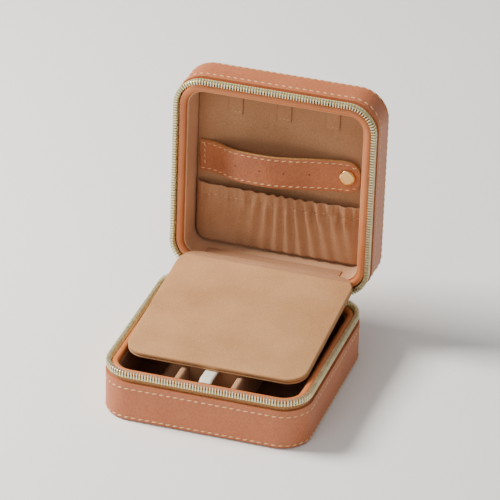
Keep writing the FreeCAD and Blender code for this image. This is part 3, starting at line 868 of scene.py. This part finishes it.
def hole_shade_finish():
    """Painted shade: the dark inside of a punched hole, drawn on a thin disc."""
    material, tree, shader = new_finish("punched_hole_shade")
    place = add_node(tree, "TexCoord")
    grain = add_node(tree, "TexNoise", [(place, "Object", "Vector")], Scale=1 / (1.11 * MM))
    tones = colour_mix(tree, (grain, "Fac"), tone("#5A3421"), tone("#6E432B"))
    tree.links.new(tones.outputs["Color"], shader.inputs["Base Color"])
    shader.inputs["Roughness"].default_value = 0.9
    return material


# Each hole is a thin dark disc on the strap's face, painted shade standing for the hole.
holes = bmesh.new()
for x in (-23.5, -10.5, 3.0, 17.0):
    near = min(range(1, len(strap_line)), key=lambda i: abs(strap_line[i].x - x * MM))
    a, b = strap_line[near - 1], strap_line[near]
    along = Vector((b.x - a.x, 0, b.y - a.y)).normalized()
    out = Vector((along.z, 0, -along.x))
    middle = Vector((b.x, 0, b.y)) + out * 0.79 * MM
    turn = Matrix((
        (along.x, 0, out.x, middle.x),
        (along.y, 1, out.y, middle.y),
        (along.z, 0, out.z, middle.z),
        (0, 0, 0, 1),
    ))
    bmesh.ops.create_cone(
        holes,
        cap_ends=True,
        segments=20,
        radius1=0.55 * MM,
        radius2=0.5 * MM,
        depth=0.06 * MM,
        matrix=turn,
    )
bmesh.ops.recalc_face_normals(holes, faces=holes.faces[:])
strap_holes = new_piece("strap_holes", holes, [hole_shade_finish()], strap_place)
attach(strap_holes, "strap")

snap_metal = metal_finish("snap_metal", tone("#E0AE6B"), tone("#EDC384"), 0.2)
finish_nodes(snap_metal, "snap_cap", "snap_socket", "snap_stud")

# ---------------------------------------------------------------- Necklace tabs
# Three short suede tabs, doubled and sewn across, that hang from the top of the lid.
tab_width, tab_length, tab_thickness, tab_spacing = 7.5 * MM, 16.8 * MM, 0.78 * MM, 26.5 * MM
tab_middle, tab_depth = 94.85 * MM, 18.5 * MM


def tab_mesh(centre):
    """A doubled strip, rounded over its top fold and its free end."""
    mesh = bmesh.new()
    made = bmesh.ops.create_cube(mesh, size=1.0)
    bmesh.ops.scale(mesh, vec=(tab_width, tab_length, tab_thickness), verts=made["verts"])
    bmesh.ops.bevel(
        mesh,
        geom=mesh.edges[:],
        offset=0.34 * MM,
        segments=3,
        profile=0.5,
        affect="EDGES",
        material=-1,
    )
    bmesh.ops.translate(mesh, vec=(centre, hinge.y - tab_middle, tab_depth), verts=mesh.verts)
    return mesh


for side, centre in (("left", -tab_spacing), ("middle", 0.0), ("right", tab_spacing)):
    tab = new_piece("tab_" + side + "_suede", tab_mesh(centre), [lid_suede], lid_place)
    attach(tab, "tab_" + side)
    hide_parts("necklace_tab_" + side)
    tab_thread = bmesh.new()
    for row in (101.4, 88.2):
        for k in range(3):
            add_stitch(
                tab_thread,
                Vector((centre + (k - 1) * 2.1 * MM, hinge.y - row * MM, 18.12 * MM)),
                Vector((1, 0, 0)),
                Vector((0, 0, -1)),
                1.5 * MM,
                0.35 * MM,
            )
    tab_row = new_piece("tab_" + side + "_stitches", tab_thread, [pale_thread], lid_place)
    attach(tab_row, "tab_" + side)

# ---------------------------------------------------------------- Spine
# One strip of the case's leather sewn to the backs of both halves, bending between them.
spine_width, spine_y, bend_low = 48.0 * MM, 56.2, 25.3
bend_y, bend_z = 2.16, 2.13
spine_run = [(spine_y, 10.2), (spine_y, 18.0), (spine_y, bend_low)]
for k in range(1, 6):
    turn = math.radians(90 * k / 6)
    spine_run.append((
        spine_y + bend_y * (1 - math.cos(turn)), bend_low + bend_z * math.sin(turn)
    ))
for reach in (1.9, 9.0, 17.0):
    flat = Vector((0, spine_y * MM, base_height + reach * MM))
    laid = lid_turn @ flat
    spine_run.append((laid.y / MM, laid.z / MM))
spine_line = [Vector((y, z)) * MM for y, z in spine_run]
spine = new_piece(
    "spine_strip",
    strip_mesh(spine_line, spine_width, 8),
    [case_leather],
    turned,
    60.0,
)
thick = spine.modifiers.new("leather", "SOLIDIFY")
thick.thickness = 1.15 * MM
thick.offset = 0
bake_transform(spine)
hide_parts("spine_base_side", "spine_fold", "spine_lid_side")
